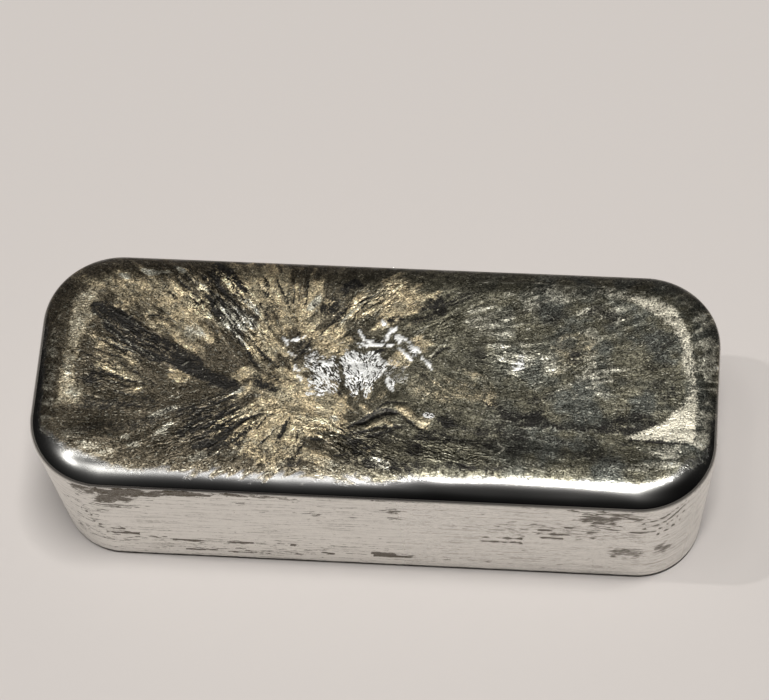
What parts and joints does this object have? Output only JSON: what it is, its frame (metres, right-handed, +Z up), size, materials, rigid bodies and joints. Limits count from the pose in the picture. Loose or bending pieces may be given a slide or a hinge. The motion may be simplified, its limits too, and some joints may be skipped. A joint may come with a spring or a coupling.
{
  "type": "metal ingot",
  "caption": "Cast metal bar with drafted walls, rounded corners and a meniscus rim, stored and handled as raw stock for melting.",
  "frame": {"origin": "centre of the flat base", "axes": "+X along the bar, +Z up out of the base towards the poured top"},
  "size_m": [0.11, 0.042, 0.0317],
  "materials": {
    "cast_metal": "polished"
  },
  "bodies": {
    "root": {"ingot": "cast_metal"}
  },
  "joints": []
}
